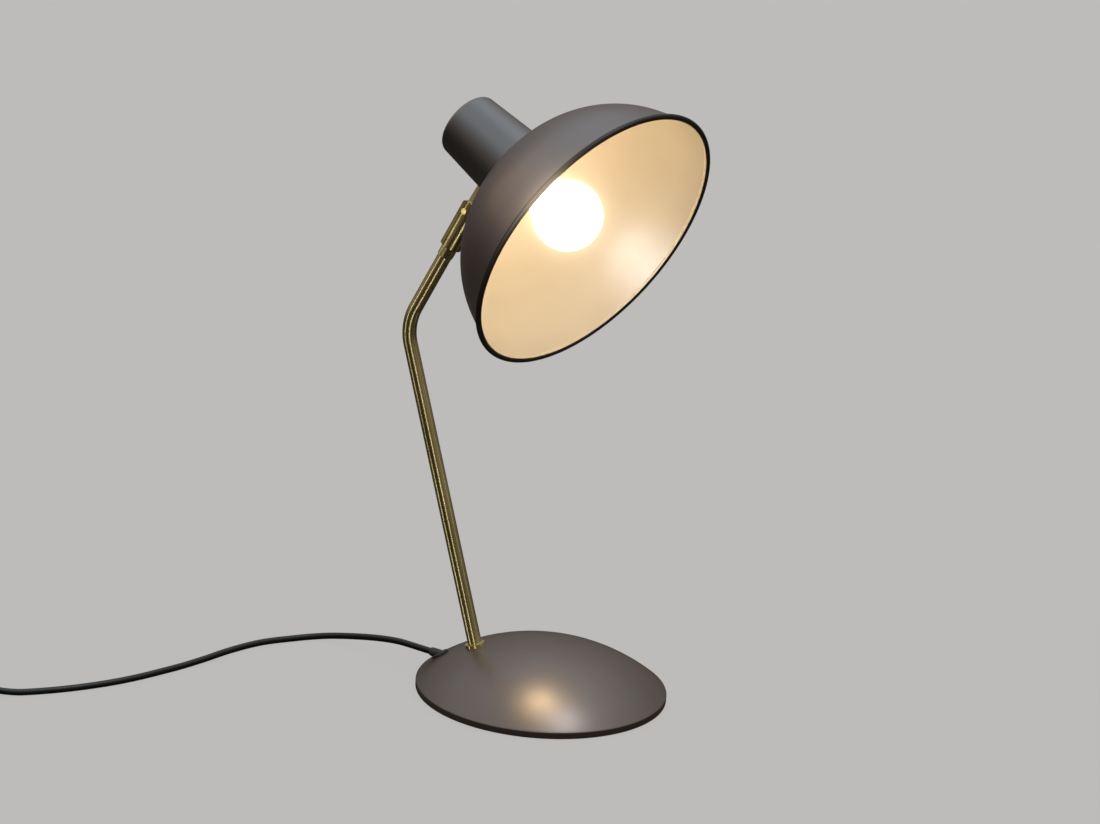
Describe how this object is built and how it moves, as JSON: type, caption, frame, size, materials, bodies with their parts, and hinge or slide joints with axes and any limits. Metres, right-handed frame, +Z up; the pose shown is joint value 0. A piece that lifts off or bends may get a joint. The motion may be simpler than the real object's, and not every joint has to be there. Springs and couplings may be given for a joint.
{
  "type": "desk lamp",
  "caption": "Desk lamp with a domed round base, a bent tube pole, a swivel and tilt knuckle, a dome shade with a tapered neck, and a cord with switch and plug.",
  "frame": {"origin": "middle of the flat underside of the base, on the table top", "axes": "+Z up; the pole stands at +Y and the in-plane head would look to -Y"},
  "size_m": [0.392, 0.5115, 0.4138],
  "materials": {
    "charcoal_paint": "satin",
    "brass": "satin",
    "steel": "satin",
    "iron": "matte",
    "black_rubber": "matte",
    "black_plastic": "satin",
    "cord_black": "satin",
    "white_plastic": "satin",
    "white_ceramic": "gloss",
    "opal_glass": "satin"
  },
  "bodies": {
    "base": {"base_cover": "charcoal_paint", "base_weight": "iron", "base_plate": "steel", "foot_pad": "black_rubber", "plate_screws": "steel", "pole": "brass", "pole_flange": "brass", "pole_nipple": "steel", "pole_washer": "steel", "pole_nut": "steel", "ferrule": "brass", "pole_lead": "cord_black", "terminal_block": "white_plastic", "cord_clamp": "white_plastic", "clamp_screws": "steel", "supply_tail": "cord_black", "cord_gland": "black_rubber", "cord_lead": "cord_black", "switch_lower": "black_plastic", "switch_upper": "black_plastic", "switch_screws": "steel", "cord_mid": "cord_black", "cord_coil": "cord_black", "coil_tie": "black_plastic", "cord_tail": "cord_black", "plug_body": "black_plastic", "plug_pins": "steel"},
    "knuckle": {"swivel_stud": "steel", "swivel_washer": "brass", "knuckle_fork": "brass", "pivot_screw": "brass"},
    "head": {"hinge_tongue": "brass", "friction_washers": "steel", "shade_dome": "charcoal_paint", "neck_cap": "charcoal_paint", "lampholder": "white_ceramic", "holder_shell": "brass", "holder_contact": "brass", "shade_ring": "white_plastic", "holder_nipple": "steel", "holder_nut": "steel", "lead_bush": "black_rubber", "head_lead": "cord_black", "bulb_glass": "opal_glass", "bulb_cap": "steel"},
    "rocker": {"switch_rocker": "black_plastic"}
  },
  "joints": [
    {"name": "head_swivel", "type": "hinge", "parent": "base", "child": "knuckle", "pos_m": [0, 0.06964, 0.32274], "axis": [0, -0.4258, 0.9048], "range_deg": [-65, 115]},
    {"name": "shade_tilt", "type": "hinge", "parent": "knuckle", "child": "head", "pos_m": [0, 0.06964, 0.32274], "axis": [0.9063, -0.3824, -0.1799], "range_deg": [-45, 40]},
    {"name": "switch_rock", "type": "hinge", "parent": "base", "child": "rocker", "pos_m": [-0.16761, 0.36416, 0.0116], "axis": [-0.9272, -0.3746, 0], "range_deg": [0, 14]}
  ]
}
